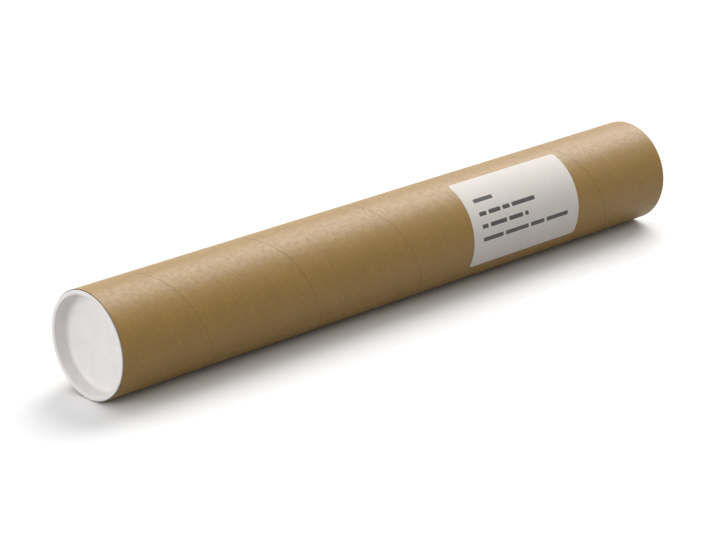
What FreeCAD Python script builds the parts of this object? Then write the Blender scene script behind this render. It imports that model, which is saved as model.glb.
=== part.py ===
import FreeCAD, Part
import os
import re
import Sketcher

# A spiral-wound cardboard mailing tube, closed by a moulded plug pushed into each end,
# with an address label stuck to its side. Sizes are in millimetres and degrees.
# The tube lies along X, front end towards -X, and rests on the plane Z = 0, where the board
# gives a little and has a narrow flat along its lowest line.

SHEET = "Dimensions"

DIMENSIONS = (
    # The board tube, wound from strips of kraft paper
    ("tube_length", 440, "cut length of the board tube"),
    ("bore_diameter", 60, "inside diameter, for a rolled sheet"),
    ("wall_thickness", 2, "all the plies together"),
    ("winding_pitch", 81, "how far the outer strip advances in one turn"),
    ("seam_offset", 38.5, "front end to where the seam first crosses the top line"),
    ("seam_width", 0.4, "opening between two turns of the outer strip"),
    ("seam_depth", 0.15, "thickness of the outer strip, which the opening shows"),
    ("flat_width", 5, "flat that the tube lies on, 0.1 mm deep at its middle"),
    # The plug in each end
    ("flange_thickness", 1, "lip that stops the plug on the end of the board"),
    ("flange_setback", 0.5, "edge of the lip inside the outside of the tube"),
    ("flange_bevel", 0.35, "outer edge of the lip"),
    ("recess_depth", 9, "outer face of the lip down to the disc"),
    ("disc_thickness", 1.2, "disc that closes the tube"),
    ("skirt_thickness", 0.8, "wall of the plug inside the bore"),
    ("skirt_draft", 0.25, "how much smaller in radius the skirt is at its inner end"),
    ("mouth_bevel", 0.45, "inner edge of the lip"),
    ("corner_bevel", 1.5, "inside corner between skirt and disc"),
    ("lead_in", 0.8, "bevel that starts the plug into the bore"),
    ("rib_count", 12, "crush ribs round the skirt"),
    ("rib_height", 0.25, "rib above the skirt, next to the lip"),
    ("rib_width", 1.2, "rib measured round the skirt"),
    ("rib_clearance", 0.05, "top of a rib to the bore"),
    # The address label
    ("label_length", 92, "along the tube"),
    ("label_height", 58.6, "round the tube"),
    ("label_offset", 268, "front end of the board to the label"),
    ("label_turn", 67.5, "from the top line round to the middle of the label"),
    ("label_thickness", 0.12, "face paper and glue"),
    ("label_corner", 2, "radius of the die-cut corners"),
    ("label_gap", 0.02, "underside of the label to the board"),
)

# Sizes that several features share, as formulas on the sheet
TUBE_RADIUS = "(bore_diameter / 2 + wall_thickness)"
AXIS_HEIGHT = f"sqrt({TUBE_RADIUS} ^ 2 - (flat_width / 2) ^ 2)"
FLANGE_RADIUS = f"({TUBE_RADIUS} - flange_setback)"
RIB_TOP = "(bore_diameter / 2 - rib_clearance)"
SKIRT_RADIUS = f"({RIB_TOP} - rib_height)"
SKIRT_DEPTH = "(recess_depth + disc_thickness)"
MOUTH_RADIUS = f"({SKIRT_RADIUS} - skirt_thickness)"
RIB_FOOT = f"({SKIRT_RADIUS} - (skirt_thickness + skirt_draft) / 2)"
LABEL_RADIUS = f"({TUBE_RADIUS} + label_gap)"

# How Sketcher numbers the points of a line or circle, and the sketch's own axes
START_INDEX, END_INDEX, CENTRE_INDEX = 1, 2, 3
ACROSS_AXIS_INDEX, UP_AXIS_INDEX = -1, -2
ORIGIN = (ACROSS_AXIS_INDEX, START_INDEX)

SAME_PLACE = 0.001


def make_sheet(doc):
    """The sheet of driving sizes, one named cell each."""
    sheet = doc.addObject("Spreadsheet::Sheet", SHEET)
    for row, (alias, value, note) in enumerate(DIMENSIONS, start=1):
        sheet.set(f"A{row}", alias)
        sheet.set(f"B{row}", str(value))
        sheet.set(f"C{row}", note)
        sheet.setAlias(f"B{row}", alias)
    doc.recompute()


def value_of(doc, text):
    """What a formula comes to with the present sizes."""
    return float(doc.getObject(SHEET).evalExpression(text))


def bind(feature, name, text):
    """Tie a property to the sheet, where every size_name in the text is a cell."""
    feature.setExpression(name, re.sub(r"[a-z]+_[a-z]+", rf"{SHEET}.\g<0>", text))


def origin_part(body, role):
    """One of the body's own planes or axes."""
    return next(part for part in body.Origin.OriginFeatures if part.Role == role)


def new_sketch(body, name, plane):
    """An empty sketch on one of the body's own planes."""
    sketch = body.newObject("Sketcher::SketchObject", name)
    sketch.AttachmentSupport = [(origin_part(body, plane), "")]
    sketch.MapMode = "FlatFace"
    return sketch


def add_size(sketch, kind, places, text):
    """A constraint whose value is a formula."""
    value = value_of(sketch.Document, text)
    number = sketch.addConstraint(Sketcher.Constraint(kind, *places, value))
    bind(sketch, f"Constraints[{number}]", text)


def draw_rings(sketch, radii):
    """Circles about the body's axis."""
    middle, normal = FreeCAD.Vector(0, 0, 0), FreeCAD.Vector(0, 0, 1)
    for ring, radius in enumerate(radii):
        sketch.addGeometry(Part.Circle(middle, normal, value_of(sketch.Document, radius)))
        sketch.addConstraint(Sketcher.Constraint("Coincident", ring, CENTRE_INDEX, *ORIGIN))
        add_size(sketch, "Radius", (ring,), radius)


def draw_outline(sketch, corners):
    """A closed outline of straight sides, each corner a pair of formulas."""
    doc = sketch.Document
    points = [FreeCAD.Vector(value_of(doc, x), value_of(doc, y), 0) for x, y in corners]
    following = [*range(1, len(corners)), 0]
    for start, end in enumerate(following):
        sketch.addGeometry(Part.LineSegment(points[start], points[end]))
    for side, after in enumerate(following):
        sketch.addConstraint(
            Sketcher.Constraint("Coincident", side, END_INDEX, after, START_INDEX)
        )
    for side, (x, y) in enumerate(corners):
        hold(sketch, side, "DistanceX", x, UP_AXIS_INDEX)
        hold(sketch, side, "DistanceY", y, ACROSS_AXIS_INDEX)


def hold(sketch, side, kind, text, axis):
    """Keep the corner that starts a side on an axis, or at a formula's distance from it."""
    if text == "0":
        sketch.addConstraint(Sketcher.Constraint("PointOnObject", side, START_INDEX, axis))
    else:
        add_size(sketch, kind, (*ORIGIN, side, START_INDEX), text)


def circles_at(body, depth, radius):
    """Names of the circular edges at a depth along the body's X and of a radius."""
    depth, radius = value_of(body.Document, depth), value_of(body.Document, radius)
    return [
        f"Edge{number}"
        for number, edge in enumerate(body.Tip.Shape.Edges, start=1)
        if isinstance(edge.Curve, Part.Circle)
        and abs(edge.Curve.Center.x - depth) < SAME_PLACE
        and abs(edge.Curve.Radius - radius) < SAME_PLACE
    ]


def straight_edges(body, length):
    """Names of the straight edges of a length."""
    length = value_of(body.Document, length)
    return [
        f"Edge{number}"
        for number, edge in enumerate(body.Tip.Shape.Edges, start=1)
        if isinstance(edge.Curve, Part.Line) and abs(edge.Length - length) < SAME_PLACE
    ]


def dress(body, kind, name, edges, size, text):
    """Round or bevel edges of the body as it stands."""
    base = body.Tip
    feature = body.newObject(f"PartDesign::{kind}", name)
    feature.Base = (base, edges)
    bind(feature, size, text)
    body.Document.recompute()


def turn(body, name, sketch):
    """A solid turned from a sketch about the body's X."""
    solid = body.newObject("PartDesign::Revolution", name)
    solid.Profile = sketch
    solid.ReferenceAxis = (sketch, ["H_Axis"])
    return solid


def make_tube(doc):
    """The board tube, with the seam of its outer strip winding along it."""
    body = doc.addObject("PartDesign::Body", "tube")
    bind(body, ".Placement.Base.x", "-tube_length / 2")
    bind(body, ".Placement.Base.z", AXIS_HEIGHT)

    section = new_sketch(body, "WallSection", "YZ_Plane")
    draw_rings(section, (TUBE_RADIUS, "bore_diameter / 2"))
    wall = body.newObject("PartDesign::Pad", "Wall")
    wall.Profile = section
    bind(wall, "Length", "tube_length")
    doc.recompute()
    cut_resting_flat(body)
    cut_seam(body)
    return body


def cut_resting_flat(body):
    """The narrow flat along the lowest line of the board."""
    depth = f"{TUBE_RADIUS} - {AXIS_HEIGHT}"
    section = new_sketch(body, "FlatSection", "YZ_Plane")
    bind(section, ".AttachmentOffset.Base.x", "-flat_width / 2")
    bind(section, ".AttachmentOffset.Base.y", f"-{TUBE_RADIUS}")
    draw_outline(section, (("0", "0"), ("flat_width", "0"), ("flat_width", depth), ("0", depth)))
    flat = body.newObject("PartDesign::Pocket", "RestingFlat")
    flat.Profile = section
    flat.Reversed = True
    bind(flat, "Length", "tube_length")
    body.Document.recompute()


def cut_seam(body):
    """The seam, from a turn before the front end until it has run out past the rear end."""
    notch = new_sketch(body, "SeamNotch", "XZ_Plane")
    bind(notch, ".AttachmentOffset.Base.x", "seam_offset - winding_pitch - seam_width")
    draw_outline(notch, (
        ("0", f"{TUBE_RADIUS} + seam_depth"),
        ("2 * seam_width", f"{TUBE_RADIUS} + seam_depth"),
        ("seam_width", f"{TUBE_RADIUS} - seam_depth"),
    ))
    seam = body.newObject("PartDesign::SubtractiveHelix", "Seam")
    seam.Profile = notch
    seam.ReferenceAxis = (notch, ["H_Axis"])
    seam.Mode = "pitch-height-angle"
    bind(seam, "Pitch", "winding_pitch")
    bind(seam, "Height", "tube_length + 2 * winding_pitch")
    body.Document.recompute()


def make_end_cap(doc, label):
    """A recessed plug, its X running into the tube from the outer face of the lip."""
    body = doc.addObject("PartDesign::Body", label)
    bind(body, ".Placement.Base.z", AXIS_HEIGHT)

    profile = new_sketch(body, "CupProfile", "XY_Plane")
    draw_outline(profile, (
        ("0", MOUTH_RADIUS),
        ("0", FLANGE_RADIUS),
        ("flange_thickness", FLANGE_RADIUS),
        ("flange_thickness", SKIRT_RADIUS),
        (SKIRT_DEPTH, f"{SKIRT_RADIUS} - skirt_draft"),
        (SKIRT_DEPTH, "0"),
        ("recess_depth", "0"),
        ("recess_depth", f"{MOUTH_RADIUS} - skirt_draft"),
    ))
    turn(body, "Cup", profile)
    doc.recompute()

    lip = circles_at(body, "0", FLANGE_RADIUS)
    dress(body, "Chamfer", "LipEdge", lip, "Size", "flange_bevel")
    mouth = circles_at(body, "0", MOUTH_RADIUS)
    dress(body, "Chamfer", "MouthEdge", mouth, "Size", "mouth_bevel")
    corner = circles_at(body, "recess_depth", f"{MOUTH_RADIUS} - skirt_draft")
    dress(body, "Chamfer", "InsideCorner", corner, "Size", "corner_bevel")
    tip = circles_at(body, SKIRT_DEPTH, f"{SKIRT_RADIUS} - skirt_draft")
    dress(body, "Chamfer", "LeadIn", tip, "Size", "lead_in")
    add_crush_ribs(body)
    return body


def add_crush_ribs(body):
    """Narrow ribs along the skirt, which bite on the bore and slope off at its inner end."""
    profile = new_sketch(body, "RibProfile", "XY_Plane")
    draw_outline(profile, (
        ("flange_thickness", RIB_FOOT),
        ("flange_thickness", RIB_TOP),
        (f"{SKIRT_DEPTH} - 2 * lead_in", RIB_TOP),
        (f"{SKIRT_DEPTH} - lead_in", RIB_FOOT),
    ))
    rib = body.newObject("PartDesign::Pad", "Rib")
    rib.Profile = profile
    rib.SideType = "Symmetric"
    bind(rib, "Length", "rib_width")
    body.Document.recompute()

    ribs = body.newObject("PartDesign::PolarPattern", "Ribs")
    ribs.Originals = [rib]
    ribs.Axis = (origin_part(body, "X_Axis"), [""])
    bind(ribs, "Occurrences", "rib_count")
    body.Tip = ribs
    body.Document.recompute()


def make_front_cap(doc):
    """The plug in the front end."""
    body = make_end_cap(doc, "front_end_cap")
    bind(body, ".Placement.Base.x", "-tube_length / 2 - flange_thickness")
    return body


def make_rear_cap(doc):
    """The same plug, turned round for the rear end."""
    body = make_end_cap(doc, "rear_end_cap")
    bind(body, ".Placement.Base.x", "tube_length / 2 + flange_thickness")
    body.Placement.Rotation = FreeCAD.Rotation(FreeCAD.Vector(0, 0, 1), 180)
    return body


def make_address_label(doc):
    """A thin sheet with round corners, lying round the side of the tube."""
    body = doc.addObject("PartDesign::Body", "address_label")
    body.Placement.Rotation = FreeCAD.Rotation(FreeCAD.Vector(1, 0, 0), 90)
    bind(body, ".Placement.Base.x", "-tube_length / 2")
    bind(body, ".Placement.Base.z", AXIS_HEIGHT)
    bind(body, ".Placement.Rotation.Angle", "90 + label_turn")

    profile = new_sketch(body, "LabelProfile", "XY_Plane")
    draw_outline(profile, (
        ("label_offset", LABEL_RADIUS),
        ("label_offset + label_length", LABEL_RADIUS),
        ("label_offset + label_length", f"{LABEL_RADIUS} + label_thickness"),
        ("label_offset", f"{LABEL_RADIUS} + label_thickness"),
    ))
    sheet = turn(body, "Sheet", profile)
    sheet.Midplane = True
    bind(sheet, "Angle", f"label_height / {TUBE_RADIUS} * 180 / pi")
    doc.recompute()

    corners = straight_edges(body, "label_thickness")
    dress(body, "Fillet", "Corners", corners, "Radius", "label_corner")
    return body


def check_built(doc, bodies):
    """Stop if a feature failed or a piece has no sound solid."""
    failed = [item.Label for item in doc.Objects if {"Invalid", "Error"} & set(item.State)]
    for body in bodies:
        if body.Shape.isNull() or not body.Shape.isValid():
            failed.append(body.Label)
    if failed:
        raise RuntimeError("not built: " + ", ".join(failed))


def main():
    doc = FreeCAD.newDocument("mailing_tube")
    make_sheet(doc)
    bodies = [
        make_tube(doc),
        make_front_cap(doc),
        make_rear_cap(doc),
        make_address_label(doc),
    ]
    doc.recompute()
    check_built(doc, bodies)
    os.makedirs("parts", exist_ok=True)
    for body in bodies:
        body.Shape.exportStep(f"parts/{body.Label}.step")


main()
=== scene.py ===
from math import atan, atan2, ceil, cos, floor, pi, radians, sin, tau

import bmesh
import bpy
from mathutils import Matrix, Vector


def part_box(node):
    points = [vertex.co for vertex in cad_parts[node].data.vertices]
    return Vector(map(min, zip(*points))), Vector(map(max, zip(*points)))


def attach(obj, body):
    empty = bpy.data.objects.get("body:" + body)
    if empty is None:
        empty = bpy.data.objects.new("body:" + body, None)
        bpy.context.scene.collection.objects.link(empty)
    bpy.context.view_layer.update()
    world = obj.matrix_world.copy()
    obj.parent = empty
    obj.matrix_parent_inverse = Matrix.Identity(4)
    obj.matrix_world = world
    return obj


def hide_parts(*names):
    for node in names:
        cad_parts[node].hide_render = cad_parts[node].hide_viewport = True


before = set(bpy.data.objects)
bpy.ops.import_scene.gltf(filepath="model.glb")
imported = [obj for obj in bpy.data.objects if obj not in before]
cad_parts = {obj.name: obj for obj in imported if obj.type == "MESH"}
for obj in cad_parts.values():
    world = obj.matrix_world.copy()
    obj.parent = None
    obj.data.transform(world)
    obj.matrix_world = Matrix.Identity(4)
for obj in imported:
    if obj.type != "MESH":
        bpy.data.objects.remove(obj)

bl_info = {
    "name": "Cardboard Mailing Tube",
    "version": (1, 0, 0),
    "blender": (4, 5, 0),
    "location": "3D View > Sidebar > Mailing Tube",
    "description": "Builds a spiral-wound mailing tube with its end caps and address label",
    "category": "Object",
}

# The tube lies along X and rests on the plane Z = 0, with its label towards -Y. An angle round
# it is measured from its top line towards the label.
TUBE_LOW, TUBE_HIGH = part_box("tube")
TUBE_LENGTH = TUBE_HIGH[0] - TUBE_LOW[0]
TUBE_RADIUS = (TUBE_HIGH[1] - TUBE_LOW[1]) / 2
AXIS = Vector((0, 0, TUBE_HIGH[2] - TUBE_RADIUS))
BORE_RADIUS = TUBE_RADIUS - 0.002
FRONT_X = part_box("front_end_cap")[0][0]
REAR_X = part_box("rear_end_cap")[1][0]

MERGE_DISTANCE = 1e-5


# ---------------------------------------------------------------- settings

class BoardSettings(bpy.types.PropertyGroup):
    """Winding and finish of the board tube."""
    winding_pitch: bpy.props.FloatProperty(
        name="Winding Pitch", default=0.081, unit="LENGTH",
        description="How far a strip of paper advances in one turn")
    seam_offset: bpy.props.FloatProperty(
        name="Seam Offset", default=0.0385, unit="LENGTH",
        description="Front end to where the seam first crosses the top line")
    liner_offset: bpy.props.FloatProperty(
        name="Liner Seam Offset", default=0.066, unit="LENGTH",
        description="Front end to where the seam of the innermost strip crosses the top line")
    seam_width: bpy.props.FloatProperty(
        name="Seam Width", default=0.00025, unit="LENGTH",
        description="Opening between two turns of a strip")
    seam_depth: bpy.props.FloatProperty(
        name="Seam Depth", default=0.00008, unit="LENGTH",
        description="Thickness of a strip, which the opening shows")
    ply_dip: bpy.props.FloatProperty(
        name="Ply Dip", default=0.00003, unit="LENGTH",
        description="How far the outer strip sinks over the seams of the plies below it")
    ply_count: bpy.props.IntProperty(
        name="Plies", default=6,
        description="Plies that show in the cut ends")
    kraft_color: bpy.props.FloatVectorProperty(
        name="Kraft", subtype="COLOR", size=4, min=0, max=1, default=(0.312, 0.171, 0.024, 1),
        description="Outer strip of kraft paper")
    # Board in the cut ends, darker than the real board: it also paints the shade next to the caps'
    # lips
    core_and_shade_color: bpy.props.FloatVectorProperty(
        name="Core", subtype="COLOR", size=4, min=0, max=1, default=(0.20, 0.135, 0.08, 1),
        description="Board in the cut ends")
    liner_color: bpy.props.FloatVectorProperty(
        name="Liner", subtype="COLOR", size=4, min=0, max=1, default=(0.36, 0.23, 0.11, 1),
        description="Innermost strip, inside the bore")


class CapSettings(bpy.types.PropertyGroup):
    """Sizes and finish of the plug in each end."""
    lip_radius: bpy.props.FloatProperty(
        name="Lip Radius", default=TUBE_RADIUS - 0.0005, unit="LENGTH",
        description="Outside of the lip, set back from the outside of the tube")
    lip_thickness: bpy.props.FloatProperty(
        name="Lip Thickness", default=0.001, unit="LENGTH",
        description="Lip that stops the plug on the end of the board")
    recess_depth: bpy.props.FloatProperty(
        name="Recess Depth", default=0.009, unit="LENGTH",
        description="Outer face of the lip down to the disc")
    disc_thickness: bpy.props.FloatProperty(
        name="Disc Thickness", default=0.0012, unit="LENGTH",
        description="Disc that closes the tube")
    skirt_radius: bpy.props.FloatProperty(
        name="Skirt Radius", default=BORE_RADIUS - 0.0003, unit="LENGTH",
        description="Outside of the skirt next to the lip, between its ribs")
    skirt_thickness: bpy.props.FloatProperty(
        name="Skirt Thickness", default=0.0008, unit="LENGTH",
        description="Wall of the plug inside the bore")
    skirt_draft: bpy.props.FloatProperty(
        name="Skirt Draft", default=0.00025, unit="LENGTH",
        description="How much smaller in radius the skirt is at its inner end")
    corner_rounding: bpy.props.FloatProperty(
        name="Corner Rounding", default=0.002, unit="LENGTH",
        description="Inside corner between skirt and disc")
    lip_rounding: bpy.props.FloatProperty(
        name="Lip Rounding", default=0.0004, unit="LENGTH",
        description="Outer edge of the lip")
    end_bevel: bpy.props.FloatProperty(
        name="End Bevel", default=0.0008, unit="LENGTH",
        description="Outer edge of the skirt's inner end")
    mouth_rounding: bpy.props.FloatProperty(
        name="Mouth Rounding", default=0.0006, unit="LENGTH",
        description="Inner edge of the lip")
    rib_count: bpy.props.IntProperty(
        name="Ribs", default=12, description="Crush ribs round the skirt")
    rib_width: bpy.props.FloatProperty(
        name="Rib Width", default=0.0012, unit="LENGTH",
        description="Rib measured round the skirt")
    rib_slope: bpy.props.FloatProperty(
        name="Rib Slope", default=0.0012, unit="LENGTH",
        description="Length over which a rib slopes off, and its gap to the skirt's inner end")
    rib_radius: bpy.props.FloatProperty(
        name="Rib Radius", default=BORE_RADIUS - 0.00005, unit="LENGTH",
        description="Top of the ribs, just inside the bore")
    color: bpy.props.FloatVectorProperty(
        name="Plastic", subtype="COLOR", size=4, min=0, max=1, default=(0.80, 0.772, 0.76, 1),
        description="White moulded plastic")


class LabelSettings(bpy.types.PropertyGroup):
    """Size, place and finish of the address label."""
    length: bpy.props.FloatProperty(
        name="Length", default=0.092, unit="LENGTH", description="Along the tube")
    height: bpy.props.FloatProperty(
        name="Height", default=0.0586, unit="LENGTH", description="Round the tube")
    offset: bpy.props.FloatProperty(
        name="Offset", default=0.268, unit="LENGTH",
        description="Front end of the board to the label")
    turn: bpy.props.FloatProperty(
        name="Turn", default=radians(67.5), subtype="ANGLE",
        description="From the top line round to the middle of the label")
    thickness: bpy.props.FloatProperty(
        name="Thickness", default=0.00012, unit="LENGTH", description="Face paper and glue")
    gap: bpy.props.FloatProperty(
        name="Gap", default=0.00002, unit="LENGTH",
        description="Underside of the label to the board")
    corner: bpy.props.FloatProperty(
        name="Corner", default=0.002, unit="LENGTH",
        description="Radius of the die-cut corners")
    line_height: bpy.props.FloatProperty(
        name="Line Height", default=0.0026, unit="LENGTH",
        description="Height of the bars that stand for lines of writing")
    paper_color: bpy.props.FloatVectorProperty(
        name="Paper", subtype="COLOR", size=4, min=0, max=1, default=(0.83, 0.775, 0.725, 1),
        description="Face of the label")
    ink_color: bpy.props.FloatVectorProperty(
        name="Ink", subtype="COLOR", size=4, min=0, max=1, default=(0.060, 0.055, 0.052, 1),
        description="Printed bars")


class StageSettings(bpy.types.PropertyGroup):
    """Camera, light and floor."""
    camera_place: bpy.props.FloatVectorProperty(
        name="Camera Place", size=3, unit="LENGTH", default=(-1.04869, -1.10552, 0.59795),
        description="Where the camera stands")
    camera_turn: bpy.props.FloatProperty(
        name="Camera Turn", default=radians(-42.995), subtype="ANGLE",
        description="Turn of the view about the vertical, from looking along +Y")
    camera_tilt: bpy.props.FloatProperty(
        name="Camera Tilt", default=radians(20.801), subtype="ANGLE",
        description="How far the camera looks down")
    lens: bpy.props.FloatProperty(
        name="Lens", default=136.64, description="Focal length in millimetres on a 36 mm sensor")
    top_light: bpy.props.FloatProperty(
        name="Top Light", default=1.35, description="Strength of the broad light overhead")
    key_light: bpy.props.FloatProperty(
        name="Key Light", default=2.05,
        description="Strength of the light beyond the rear end that the board's gloss shows")
    side_light: bpy.props.FloatProperty(
        name="Side Light", default=1.9,
        description="Strength of the broad light that falls on the front cap")
    fill_light: bpy.props.FloatProperty(
        name="Fill Light", default=0.14, description="Strength of the even light all round")
    bounce: bpy.props.FloatProperty(
        name="Bounce", default=0.43, min=0, max=1,
        description="Share of its light that the floor throws back on the object")
    floor_color: bpy.props.FloatVectorProperty(
        name="Floor", subtype="COLOR", size=4, min=0, max=1, default=(1.0, 1.0, 1.0, 1),
        description="Pale floor")


# ---------------------------------------------------------------- mesh helpers

def angle_of(point):
    """Angle round the tube, from the top line towards the label."""
    return atan2(-point.y, point.z - AXIS.z)


def on_tube(x, angle, radius):
    """The point at a place along the tube, an angle round it and a distance from its axis."""
    return Vector((x, -sin(angle) * radius, AXIS.z + cos(angle) * radius))


def rest_on_floor(bm):
    """Flatten what lies lower than the surface that the tube rests on."""
    for vert in bm.verts:
        vert.co.z = max(vert.co.z, 0)


def add_piece(bm, name, materials, body, sharp=radians(35)):
    """Turn the bmesh into a piece of the object that rides on a body."""
    mesh = bpy.data.meshes.new(name)
    bm.to_mesh(mesh)
    bm.free()
    for material in materials:
        mesh.materials.append(material)
    mesh.shade_smooth()
    mesh.set_sharp_from_angle(angle=sharp)
    piece = bpy.data.objects.new(name, mesh)
    bpy.context.scene.collection.objects.link(piece)
    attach(piece, body)
    return piece


# ---------------------------------------------------------------- material helpers

def new_material(name):
    """A material, its node tree and its main shader."""
    material = bpy.data.materials.new(name)
    material.use_nodes = True
    tree = material.node_tree
    return material, tree, tree.nodes["Principled BSDF"]


def feed(tree, socket, value):
    """Link another node's output to a socket, or set the socket to a plain value."""
    if isinstance(value, bpy.types.NodeSocket):
        tree.links.new(value, socket)
    else:
        socket.default_value = value


def calculate(tree, operation, *values, clamp=False):
    """A Math node's result."""
    node = tree.nodes.new("ShaderNodeMath")
    node.operation = operation
    node.use_clamp = clamp
    for socket, value in zip(node.inputs, values):
        feed(tree, socket, value)
    return node.outputs[0]


def place_pattern(tree, source, scale=(1, 1, 1), location=(0, 0, 0)):
    """A Mapping node on some coordinates."""
    node = tree.nodes.new("ShaderNodeMapping")
    feed(tree, node.inputs["Vector"], source)
    node.inputs["Scale"].default_value = scale
    node.inputs["Location"].default_value = location
    return node.outputs[0]


def noise(tree, coordinates, scale, detail=3, roughness=0.5, distortion=0.0):
    """Noise from 0 to 1."""
    node = tree.nodes.new("ShaderNodeTexNoise")
    feed(tree, node.inputs["Vector"], coordinates)
    for name, value in (("Scale", scale), ("Detail", detail), ("Roughness", roughness),
                        ("Distortion", distortion)):
        node.inputs[name].default_value = value
    return node.outputs["Fac"]


def remap(tree, value, low, high, new_low=0.0, new_high=1.0, smooth=True):
    """A range of values brought to another, and held there."""
    node = tree.nodes.new("ShaderNodeMapRange")
    node.interpolation_type = "SMOOTHSTEP" if smooth else "LINEAR"
    for socket, number in zip(node.inputs, (value, low, high, new_low, new_high)):
        feed(tree, socket, number)
    return node.outputs["Result"]


def tint(tree, amount, first, second, blend="MIX"):
    """One colour mixed with another."""
    node = tree.nodes.new("ShaderNodeMix")
    node.data_type = "RGBA"
    node.blend_type = blend
    for name, value in (("Factor_Float", amount), ("A_Color", first), ("B_Color", second)):
        socket = next(item for item in node.inputs if item.identifier == name)
        feed(tree, socket, value)
    return next(item for item in node.outputs if item.identifier == "Result_Color")


def bump(tree, height, distance, strength=1.0, below=None):
    """A surface normal raised by a height."""
    node = tree.nodes.new("ShaderNodeBump")
    node.inputs["Strength"].default_value = strength
    node.inputs["Distance"].default_value = distance
    feed(tree, node.inputs["Height"], height)
    if below:
        feed(tree, node.inputs["Normal"], below)
    return node.outputs["Normal"]


def shade(color, factor):
    """A colour made darker or lighter."""
    return (*(channel * factor for channel in color[:3]), 1)


# ---------------------------------------------------------------- board tube

STEPS_PER_TURN = 180

# The strip's edge beside a seam: shares of the seam's width out from its middle, each with a
# share of its depth
SEAM_EDGE = ((0, -1), (0.30, -0.9), (0.42, -0.25), (0.60, -0.04), (1.2, 0), (4, 0))

# The strip over a seam of the plies below: shares of the pitch from it, each with a share of
# the dip
DIP_SHAPE = ((-0.030, 0), (-0.014, -0.45), (0, -1), (0.014, -0.45), (0.030, 0))


def strip_outline(board, outward):
    """Places across one strip, each with its height over the strip's surface. It runs from the
    middle of one seam to the middle of the next and dips where it crosses the seams below."""
    pitch = board.winding_pitch
    edge = [(share * board.seam_width, fall * board.seam_depth) for share, fall in SEAM_EDGE]
    places = [*edge]
    for middle in (pitch / 3, 2 * pitch / 3):
        places += [(middle + share * pitch, fall * board.ply_dip) for share, fall in DIP_SHAPE]
    places += [(pitch - x, height) for x, height in reversed(edge)]
    return [(x, outward * height) for x, height in places]


def wind_strip(board, radius, offset, outward):
    """Wind one strip of paper round and round, and cut it off at both ends of the tube."""
    bm = bmesh.new()
    pitch = board.winding_pitch
    start = -TUBE_LENGTH / 2 + offset - 2 * pitch
    edge = [
        bm.verts.new(on_tube(start + x, 0, radius + height))
        for x, height in strip_outline(board, outward)
    ]
    edges = [bm.edges.new(pair) for pair in zip(edge, edge[1:])]
    bmesh.ops.spin(
        bm, geom=[*edge, *edges], cent=AXIS, axis=(1, 0, 0), dvec=(pitch / STEPS_PER_TURN, 0, 0),
        angle=tau, steps=STEPS_PER_TURN, use_merge=False, use_duplicate=False)
    first_turn = geometry_of(bm.faces)
    for turn in range(1, ceil((TUBE_LENGTH / 2 - start) / pitch)):
        made = bmesh.ops.duplicate(bm, geom=first_turn)["geom"]
        bmesh.ops.translate(bm, vec=(turn * pitch, 0, 0), verts=only_verts(made))
    bmesh.ops.remove_doubles(bm, verts=bm.verts, dist=MERGE_DISTANCE)
    for side in (-1, 1):
        bmesh.ops.bisect_plane(
            bm, geom=geometry_of(bm.faces), dist=MERGE_DISTANCE, clear_outer=True,
            plane_co=(side * TUBE_LENGTH / 2, 0, 0), plane_no=(side, 0, 0))
    return bm


def geometry_of(faces):
    """Faces with their edges and vertices, each once and in order."""
    edges = dict.fromkeys(edge for face in faces for edge in face.edges)
    verts = dict.fromkeys(vert for face in faces for vert in face.verts)
    return [*faces, *edges, *verts]


def only_verts(geometry):
    """The vertices among what an operator has made."""
    return [item for item in geometry if isinstance(item, bmesh.types.BMVert)]


def open_edges(bm, side):
    """Edges round the open end on one side."""
    return [
        edge for edge in bm.edges
        if edge.is_boundary and all(side * vert.co.x > 0 for vert in edge.verts)
    ]


def map_strip(bm, board, radius, offset):
    """Lay each strip out flat in the UV map: along it and across it, in metres."""
    layer = bm.loops.layers.uv.verify()
    pitch = board.winding_pitch
    slant = atan(pitch / (tau * radius))
    first_seam = -TUBE_LENGTH / 2 + offset
    for face in bm.faces:
        middle = face.calc_center_median()
        angle = angle_of(middle)
        turn = floor((middle.x - first_seam) / pitch - angle / tau)
        for loop in face.loops:
            near = angle_of(loop.vert.co) - angle
            near -= tau * round(near / tau)
            wound = angle + near + tau * turn
            across = loop.vert.co.x - first_seam - pitch * wound / tau
            along = wound * radius * cos(slant) + loop.vert.co.x * sin(slant)
            loop[layer].uv = (along, across * cos(slant))


# Width of the line of painted shade where the paper dips over a seam below
PLY_LINE_WIDTH = 0.0020
EDGE_DARKENING = 0.0005


def seam_lines(tree, board, source, radius):
    """Where the paper dips over the seams of the plies below, a third of a strip apart, which
    takes a line of painted shade, and where its own edges are."""
    width = board.winding_pitch * cos(atan(board.winding_pitch / (tau * radius)))
    split = tree.nodes.new("ShaderNodeSeparateXYZ")
    feed(tree, split.inputs[0], source)
    across = split.outputs["Y"]
    third = calculate(tree, "PINGPONG", calculate(tree, "ADD", across, width / 6), width / 6)
    below = remap(tree, third, width / 6 - PLY_LINE_WIDTH / 2, width / 6, 0, 1)
    inward = calculate(tree, "PINGPONG", across, width / 2)
    own = remap(tree, inward, EDGE_DARKENING / 5, EDGE_DARKENING, 1, 0)
    return below, own


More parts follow.
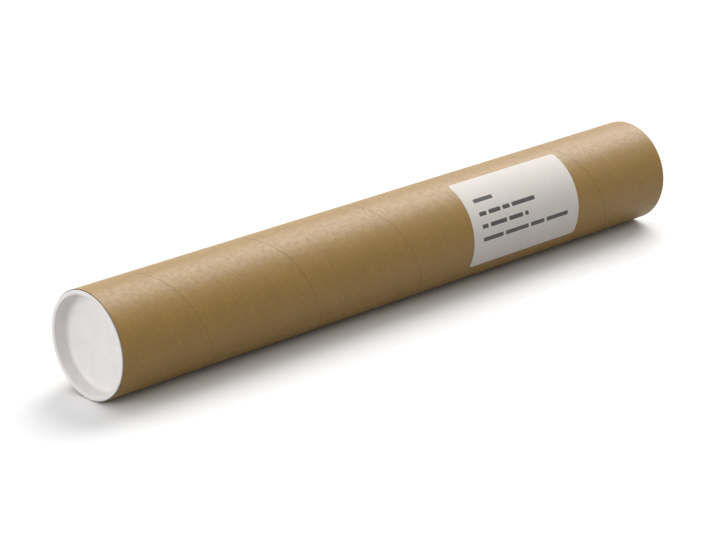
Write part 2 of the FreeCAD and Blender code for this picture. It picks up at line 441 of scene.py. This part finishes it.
def paper_material(name, board, color, radius):
    """Kraft paper: fibres along the strip, cloudy tone, faint lines of painted shade where it dips
    over the seams below, and a dark line in its own seam."""
    material, tree, shader = new_material(name)
    source = tree.nodes.new("ShaderNodeUVMap").outputs["UV"]
    cloud = noise(tree, place_pattern(tree, source, (60, 110, 1)), 1, detail=4, roughness=0.6)
    mottle = noise(tree, place_pattern(tree, source, (330, 430, 1)), 1, detail=4, roughness=0.65)
    streak = noise(tree, place_pattern(tree, source, (9, 420, 1)), 1, detail=3, roughness=0.55)
    fibre = noise(tree, place_pattern(tree, source, (420, 2600, 1)), 1, detail=4, roughness=0.65,
                  distortion=0.6)
    fleck = noise(tree, place_pattern(tree, source, (700, 1500, 1), (3, 5, 0)), 1, detail=2)

    tone = tint(tree, remap(tree, cloud, 0.3, 0.7), shade(color, 0.90), shade(color, 1.07))
    tone = tint(tree, remap(tree, mottle, 0.38, 0.62, 0, 0.55), tone, shade(color, 0.76))
    tone = tint(tree, remap(tree, streak, 0.35, 0.65, 0, 0.3), tone, shade(color, 0.90))
    tone = tint(tree, remap(tree, fibre, 0.35, 0.75, 0, 0.35), tone, shade(color, 1.22))
    tone = tint(tree, remap(tree, fleck, 0.68, 0.78, 0, 0.45), tone, shade(color, 0.45))

    below, own = seam_lines(tree, board, source, radius)
    # Painted shade: a faint darker line where the paper dips over each seam of the plies below
    painted_dip_shade = calculate(tree, "MULTIPLY", below, remap(tree, streak, 0.4, 0.65, 0.03, 0.22))
    tone = tint(tree, painted_dip_shade, tone, shade(color, 0.66))
    dirt = calculate(tree, "MULTIPLY", own, remap(tree, cloud, 0.35, 0.6, 0.12, 0.45))
    tone = tint(tree, dirt, tone, shade(color, 0.5))

    feed(tree, shader.inputs["Base Color"], tone)
    feed(tree, shader.inputs["Roughness"], remap(tree, mottle, 0.35, 0.65, 0.42, 0.52))
    shader.inputs["Specular IOR Level"].default_value = 0.58
    relief = bump(tree, fibre, 0.00004, 0.5)
    feed(tree, shader.inputs["Normal"], bump(tree, mottle, 0.00012, 0.5, relief))
    return material


def cut_board_material(board):
    """The cut ends: plies of grey-brown board, darker than the board itself to paint the shade
    next to the caps' lips, ring inside ring, with fibres torn by the knife.
    """
    material, tree, shader = new_material("cut_board")
    source = tree.nodes.new("ShaderNodeTexCoord").outputs["Object"]
    centred = place_pattern(tree, source, (0, 1, 1), (0, 0, -AXIS.z))
    length = tree.nodes.new("ShaderNodeVectorMath")
    length.operation = "LENGTH"
    feed(tree, length.inputs[0], centred)
    ply = (TUBE_RADIUS - BORE_RADIUS) / board.ply_count
    wander = noise(tree, source, 900, detail=3)
    radius = calculate(tree, "ADD", length.outputs["Value"],
                       calculate(tree, "MULTIPLY", wander, ply * 0.5))
    ring = calculate(tree, "PINGPONG", radius, ply / 2)
    glue = remap(tree, ring, 0, ply * 0.16, 1, 0)
    fuzz = noise(tree, source, 3500, detail=4, roughness=0.7)
    # The board's tone, darker than the real board to paint the shade next to the caps' lips
    tone = tint(tree, remap(tree, fuzz, 0.3, 0.7), shade(board.core_and_shade_color, 0.8),
                shade(board.core_and_shade_color, 1.25))
    tone = tint(tree, calculate(tree, "MULTIPLY", glue, 0.6), tone, shade(board.core_and_shade_color, 0.4))
    feed(tree, shader.inputs["Base Color"], tone)
    shader.inputs["Roughness"].default_value = 0.85
    shader.inputs["Specular IOR Level"].default_value = 0.25
    relief = bump(tree, fuzz, 0.0001, 0.5)
    feed(tree, shader.inputs["Normal"], bump(tree, glue, -0.0001, 0.6, relief))
    return material


OUTSIDE, CUT_END, BORE = range(3)


def add_strip(bm, strip, material_index):
    """Take a wound strip into the tube."""
    for face in strip.faces:
        face.material_index = material_index
    mesh = bpy.data.meshes.new("strip")
    strip.to_mesh(mesh)
    strip.free()
    bm.from_mesh(mesh)
    bpy.data.meshes.remove(mesh)


def build_board(board):
    """The board tube: the outer strip, the innermost strip and the cut ends between them."""
    bm = bmesh.new()
    for radius, offset, outward, material_index in (
        (TUBE_RADIUS, board.seam_offset, 1, OUTSIDE), (BORE_RADIUS, board.liner_offset, -1, BORE),
    ):
        strip = wind_strip(board, radius, offset, outward)
        map_strip(strip, board, radius, offset)
        add_strip(bm, strip, material_index)
    for side in (-1, 1):
        made = bmesh.ops.triangle_fill(
            bm, edges=open_edges(bm, side), normal=(side, 0, 0), use_beauty=True)["geom"]
        for item in made:
            if isinstance(item, bmesh.types.BMFace):
                item.material_index = CUT_END
    bmesh.ops.recalc_face_normals(bm, faces=bm.faces)
    rest_on_floor(bm)
    materials = (
        paper_material("kraft_paper", board, board.kraft_color, TUBE_RADIUS),
        cut_board_material(board),
        paper_material("liner_paper", board, board.liner_color, BORE_RADIUS),
    )
    piece = add_piece(bm, "board_tube", materials, "tube")
    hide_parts("tube")
    return piece


# ---------------------------------------------------------------- end caps

CAP_STEPS = 160

# Top of a rib as a share of its foot
RIB_TAPER = 0.55


def cup_outline(cap):
    """Corners of half the plug's section, each a depth from the lip's face and a radius."""
    depth = cap.recess_depth + cap.disc_thickness
    mouth = cap.skirt_radius - cap.skirt_thickness
    return (
        (depth, 0), (depth, cap.skirt_radius - cap.skirt_draft),
        (cap.lip_thickness, cap.skirt_radius), (cap.lip_thickness, cap.lip_radius),
        (0, cap.lip_radius), (0, mouth), (cap.recess_depth, mouth - cap.skirt_draft),
        (cap.recess_depth, 0),
    )


def turn_cup(bm, cap):
    """Turn the cup about X and round its edges."""
    outline = [bm.verts.new((depth, 0, radius)) for depth, radius in cup_outline(cap)]
    edges = [bm.edges.new(pair) for pair in zip(outline, outline[1:])]
    bmesh.ops.spin(
        bm, geom=[*outline, *edges], cent=(0, 0, 0), axis=(1, 0, 0), dvec=(0, 0, 0), angle=tau,
        steps=CAP_STEPS, use_merge=True, use_duplicate=False)
    bmesh.ops.remove_doubles(bm, verts=bm.verts, dist=MERGE_DISTANCE)
    corners = cup_outline(cap)
    for corner, size, segments in (
        (corners[1], cap.end_bevel, 1), (corners[3], cap.lip_rounding / 2, 3),
        (corners[4], cap.lip_rounding, 4), (corners[5], cap.mouth_rounding, 4),
        (corners[6], cap.corner_rounding, 8),
    ):
        bmesh.ops.bevel(
            bm, geom=ring_at(bm, *corner), offset=size, offset_type="OFFSET", affect="EDGES",
            segments=segments, profile=0.5, material=-1, clamp_overlap=True)


def ring_at(bm, depth, radius):
    """Edges of the circle at a depth and a radius."""
    def on_ring(vert):
        return (abs(vert.co.x - depth) < MERGE_DISTANCE
                and abs(Vector(vert.co.yz).length - radius) < MERGE_DISTANCE)
    return [edge for edge in bm.edges if all(on_ring(vert) for vert in edge.verts)]


def add_ribs(bm, cap):
    """Crush ribs along the skirt, which slope off at its inner end."""
    foot = cap.skirt_radius - cap.skirt_thickness / 2
    end = cap.recess_depth + cap.disc_thickness - cap.rib_slope
    size = Vector((end - cap.lip_thickness, cap.rib_width, cap.rib_radius - foot))
    middle = Vector((cap.lip_thickness, 0, foot)) + size * 0.5
    middle.y = 0
    box = Matrix.Translation(middle) @ Matrix.Diagonal((*size, 1))
    rib = bmesh.ops.create_cube(bm, size=1, matrix=box)["verts"]
    for vert in rib:
        if vert.co.z > middle.z:
            vert.co.y *= RIB_TAPER
            if vert.co.x > middle.x:
                vert.co.x -= cap.rib_slope
    faces = {face for vert in rib for face in vert.link_faces}
    for number in range(1, cap.rib_count):
        made = bmesh.ops.duplicate(bm, geom=geometry_of(faces))["geom"]
        bmesh.ops.rotate(
            bm, cent=(0, 0, 0), matrix=Matrix.Rotation(tau * number / cap.rib_count, 3, "X"),
            verts=only_verts(made))


def plastic_material(cap):
    """Moulded polyethylene: slightly waxy, with a fine grain and a little handling grime."""
    material, tree, shader = new_material("moulded_plastic")
    source = tree.nodes.new("ShaderNodeTexCoord").outputs["Object"]
    grain = noise(tree, source, 4200, detail=2)
    cloud = noise(tree, source, 95, detail=4, roughness=0.6)
    tone = tint(tree, remap(tree, cloud, 0.35, 0.7), shade(cap.color, 1.02),
                shade(cap.color, 0.965))
    feed(tree, shader.inputs["Base Color"], tone)
    feed(tree, shader.inputs["Roughness"], remap(tree, cloud, 0.3, 0.7, 0.40, 0.48))
    shader.inputs["Specular IOR Level"].default_value = 0.45
    shader.inputs["Subsurface Weight"].default_value = 0.12
    shader.inputs["Subsurface Radius"].default_value = (0.002, 0.0018, 0.0016)
    shader.inputs["Subsurface Scale"].default_value = 1.0
    relief = bump(tree, grain, 0.00003, 0.35)
    feed(tree, shader.inputs["Normal"], bump(tree, cloud, 0.0003, 0.12, relief))
    return material


def build_cap(cap, name, place, body, node, material):
    """One plug, made about the origin and moved to its end of the tube."""
    bm = bmesh.new()
    turn_cup(bm, cap)
    bmesh.ops.recalc_face_normals(bm, faces=bm.faces)
    add_ribs(bm, cap)
    bmesh.ops.transform(bm, matrix=place, verts=bm.verts)
    piece = add_piece(bm, name, (material,), body)
    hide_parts(node)
    return piece


def build_caps(cap):
    """The plug in each end."""
    material = plastic_material(cap)
    front = Matrix.Translation((FRONT_X, 0, AXIS.z))
    rear = Matrix.Translation((REAR_X, 0, AXIS.z)) @ Matrix.Rotation(pi, 4, "Z")
    build_cap(cap, "front_cap_moulding", front, "front_cap", "front_end_cap", material)
    build_cap(cap, "rear_cap_moulding", rear, "rear_cap", "rear_end_cap", material)


# ---------------------------------------------------------------- address label

STRIP_WIDTH = 0.0012
CORNER_SEGMENTS = 6
INK_THICKNESS = 0.00001

# Bars that stand for words, line by line: each a start and an end along the label, as
# distances from its front edge, with the line's distance from the label's upper edge
BARS = (
    (0.0165, ((0.0080, 0.0240),)),
    (0.0253, ((0.0080, 0.0140), (0.0160, 0.0260), (0.0280, 0.0340), (0.0360, 0.0560))),
    (0.0331, ((0.0080, 0.0130), (0.0150, 0.0290), (0.0310, 0.0430), (0.0450, 0.0480))),
    (0.0411, ((0.0080, 0.0250), (0.0270, 0.0470), (0.0490, 0.0610), (0.0630, 0.0820))),
)


def lay_patch(bm, low, high, corner, radius, thickness):
    """A rectangle with round corners, cut into narrow strips, thickened and bent round the
    tube. Low and high are places along the tube and distances round it from the top line."""
    size, middle = high - low, (high + low) / 2
    flat = Matrix.Translation((*middle, 0)) @ Matrix.Diagonal((*size, 1, 1))
    before = set(bm.faces)
    corners = bmesh.ops.create_grid(bm, x_segments=1, y_segments=1, size=0.5, matrix=flat)
    bmesh.ops.bevel(
        bm, geom=corners["verts"], offset=corner, offset_type="OFFSET", affect="VERTICES",
        segments=CORNER_SEGMENTS, profile=0.5, material=-1, clamp_overlap=True)
    for number in range(1, ceil(size.y / STRIP_WIDTH)):
        faces = [face for face in bm.faces if face not in before]
        bmesh.ops.bisect_plane(
            bm, geom=geometry_of(faces), dist=MERGE_DISTANCE, plane_no=(0, 1, 0),
            plane_co=(0, low.y + number * STRIP_WIDTH, 0))
    faces = [face for face in bm.faces if face not in before]
    made = bmesh.ops.extrude_face_region(bm, geom=faces)["geom"]
    bmesh.ops.translate(bm, vec=(0, 0, thickness), verts=only_verts(made))
    faces = [face for face in bm.faces if face not in before]
    for vert in {vert for face in faces for vert in face.verts}:
        vert.co = on_tube(vert.co.x, vert.co.y / radius, radius + vert.co.z)


def label_paper_material(label):
    """Uncoated label stock: warm white, faintly cloudy, with a fine tooth."""
    material, tree, shader = new_material("label_paper")
    source = tree.nodes.new("ShaderNodeTexCoord").outputs["Object"]
    cloud = noise(tree, source, 120, detail=4, roughness=0.6)
    tooth = noise(tree, source, 3800, detail=3, roughness=0.6)
    tone = tint(tree, remap(tree, cloud, 0.3, 0.7), shade(label.paper_color, 0.975),
                shade(label.paper_color, 1.02))
    feed(tree, shader.inputs["Base Color"], tone)
    feed(tree, shader.inputs["Roughness"], remap(tree, cloud, 0.3, 0.7, 0.68, 0.76))
    shader.inputs["Specular IOR Level"].default_value = 0.15
    relief = bump(tree, tooth, 0.00003, 0.4)
    feed(tree, shader.inputs["Normal"], bump(tree, cloud, 0.0002, 0.15, relief))
    return material


def ink_material(label):
    """Toner: nearly black, slightly glossier than the paper, thin in places."""
    material, tree, shader = new_material("label_ink")
    source = tree.nodes.new("ShaderNodeTexCoord").outputs["Object"]
    speck = noise(tree, source, 2600, detail=3, roughness=0.7)
    tone = tint(tree, remap(tree, speck, 0.55, 0.75, 0, 0.6), label.ink_color,
                shade(label.ink_color, 2.6))
    feed(tree, shader.inputs["Base Color"], tone)
    shader.inputs["Roughness"].default_value = 0.45
    feed(tree, shader.inputs["Normal"], bump(tree, speck, 0.00002, 0.4))
    return material


def build_label(label):
    """The label, with plain bars where writing would be."""
    front = -TUBE_LENGTH / 2 + label.offset
    upper = label.turn * TUBE_RADIUS - label.height / 2
    inner = TUBE_RADIUS + label.gap

    bm = bmesh.new()
    low = Vector((front, upper))
    lay_patch(bm, low, low + Vector((label.length, label.height)), label.corner, inner,
              label.thickness)
    bmesh.ops.recalc_face_normals(bm, faces=bm.faces)
    piece = add_piece(bm, "label_sheet", (label_paper_material(label),), "tube")
    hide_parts("address_label")

    bm = bmesh.new()
    for line, words in BARS:
        for start, end in words:
            low = Vector((front + start, upper + line - label.line_height / 2))
            high = Vector((front + end, upper + line + label.line_height / 2))
            lay_patch(bm, low, high, label.line_height / 4, inner + label.thickness,
                      INK_THICKNESS)
    bmesh.ops.recalc_face_normals(bm, faces=bm.faces)
    add_piece(bm, "label_bars", (ink_material(label),), "tube")


# ---------------------------------------------------------------- stage

FLOOR_SIZE = 12

# Directions that the light comes from, and how broad each light is
TOP_SOURCE, TOP_SPREAD = (0, 0.25, 1), radians(150)
KEY_SOURCE, KEY_SPREAD = (0.63, 0.25, 0.73), radians(42)
SIDE_SOURCE, SIDE_SPREAD = (-1, 0, 0.2), radians(50)


def add_sun(name, strength, spread, source):
    """A sun as broad as a diffuser, with the direction that its light comes from."""
    light = bpy.data.lights.new(name, "SUN")
    light.energy = strength
    light.angle = spread
    sun = bpy.data.objects.new(name, light)
    sun.rotation_euler = Vector(source).to_track_quat("Z", "Y").to_euler()
    bpy.context.scene.collection.objects.link(sun)


def seen_ray(tree):
    """1 for a ray that shows the background itself: from the camera, a gloss or a glass."""
    path = tree.nodes.new("ShaderNodeLightPath").outputs
    either = calculate(tree, "MAXIMUM", path["Is Camera Ray"], path["Is Glossy Ray"])
    return calculate(tree, "MAXIMUM", either, path["Is Transmission Ray"])


def build_floor(stage):
    """A pale floor that keeps the object's shadow."""
    bm = bmesh.new()
    bmesh.ops.create_grid(bm, x_segments=1, y_segments=1, size=FLOOR_SIZE)
    mesh = bpy.data.meshes.new("stage_floor")
    bm.to_mesh(mesh)
    bm.free()
    material, tree, shader = new_material("stage_floor")
    feed(tree, shader.inputs["Base Color"],
         tint(tree, seen_ray(tree), shade(stage.floor_color, stage.bounce), stage.floor_color))
    shader.inputs["Roughness"].default_value = 0.9
    shader.inputs["Specular IOR Level"].default_value = 0.0
    mesh.materials.append(material)
    plane = bpy.data.objects.new("stage_floor", mesh)
    bpy.context.scene.collection.objects.link(plane)


def build_world(stage):
    """Even light all round, which shows as white."""
    world = bpy.data.worlds.new("studio")
    world.use_nodes = True
    tree = world.node_tree
    background = tree.nodes["Background"]
    background.inputs["Color"].default_value = (1, 1, 1, 1)
    feed(tree, background.inputs["Strength"],
         remap(tree, seen_ray(tree), 0, 1, stage.fill_light, 1.0, smooth=False))
    bpy.context.scene.world = world


def build_camera(stage):
    """The camera at the photograph's angle."""
    lens = bpy.data.cameras.new("camera")
    lens.lens = stage.lens
    lens.sensor_width = 36
    lens.clip_end = 100
    camera = bpy.data.objects.new("camera", lens)
    camera.location = stage.camera_place
    camera.rotation_euler = (pi / 2 - stage.camera_tilt, 0, stage.camera_turn)
    bpy.context.scene.collection.objects.link(camera)
    bpy.context.scene.camera = camera


def build_stage(stage):
    """Floor, background, lights and camera."""
    build_floor(stage)
    build_world(stage)
    add_sun("top_light", stage.top_light, TOP_SPREAD, TOP_SOURCE)
    add_sun("key_light", stage.key_light, KEY_SPREAD, KEY_SOURCE)
    add_sun("side_light", stage.side_light, SIDE_SPREAD, SIDE_SOURCE)
    build_camera(stage)
    bpy.context.scene.view_settings.view_transform = "Standard"


# ---------------------------------------------------------------- add-on

class MAILINGTUBE_OT_board(bpy.types.Operator):
    """Wind the board tube"""
    bl_idname = "mailing_tube.board"
    bl_label = "Board Tube"

    def execute(self, context):
        build_board(context.scene.mailing_tube_board)
        return {"FINISHED"}


class MAILINGTUBE_OT_caps(bpy.types.Operator):
    """Mould the plug in each end"""
    bl_idname = "mailing_tube.caps"
    bl_label = "End Caps"

    def execute(self, context):
        build_caps(context.scene.mailing_tube_caps)
        return {"FINISHED"}


class MAILINGTUBE_OT_label(bpy.types.Operator):
    """Stick on the address label"""
    bl_idname = "mailing_tube.label"
    bl_label = "Address Label"

    def execute(self, context):
        build_label(context.scene.mailing_tube_label)
        return {"FINISHED"}


class MAILINGTUBE_OT_stage(bpy.types.Operator):
    """Set up the floor, background, lights and camera"""
    bl_idname = "mailing_tube.stage"
    bl_label = "Stage"

    def execute(self, context):
        build_stage(context.scene.mailing_tube_stage)
        return {"FINISHED"}


class MAILINGTUBE_PT_panel(bpy.types.Panel):
    """Sizes and colours of the mailing tube, with a button for each part of it"""
    bl_idname = "MAILINGTUBE_PT_panel"
    bl_label = "Mailing Tube"
    bl_space_type = "VIEW_3D"
    bl_region_type = "UI"
    bl_category = "Mailing Tube"

    def draw(self, context):
        for operator, group in STEPS:
            box = self.layout.box()
            settings = getattr(context.scene, group)
            for name in settings.__annotations__:
                box.prop(settings, name)
            box.operator(operator)


# Each operator with the settings that it reads
STEPS = (
    ("mailing_tube.board", "mailing_tube_board"),
    ("mailing_tube.caps", "mailing_tube_caps"),
    ("mailing_tube.label", "mailing_tube_label"),
    ("mailing_tube.stage", "mailing_tube_stage"),
)

GROUPS = (BoardSettings, CapSettings, LabelSettings, StageSettings)

CLASSES = (
    *GROUPS,
    MAILINGTUBE_OT_board,
    MAILINGTUBE_OT_caps,
    MAILINGTUBE_OT_label,
    MAILINGTUBE_OT_stage,
    MAILINGTUBE_PT_panel,
)


def register():
    for item in CLASSES:
        bpy.utils.register_class(item)
    for (_, name), group in zip(STEPS, GROUPS):
        setattr(bpy.types.Scene, name, bpy.props.PointerProperty(type=group))


def unregister():
    for _, name in STEPS:
        delattr(bpy.types.Scene, name)
    for item in reversed(CLASSES):
        bpy.utils.unregister_class(item)


def main():
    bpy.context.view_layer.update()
    register()
    bpy.ops.mailing_tube.board()
    bpy.ops.mailing_tube.caps()
    bpy.ops.mailing_tube.label()
    bpy.ops.mailing_tube.stage()


if __name__ == "__main__":
    main()
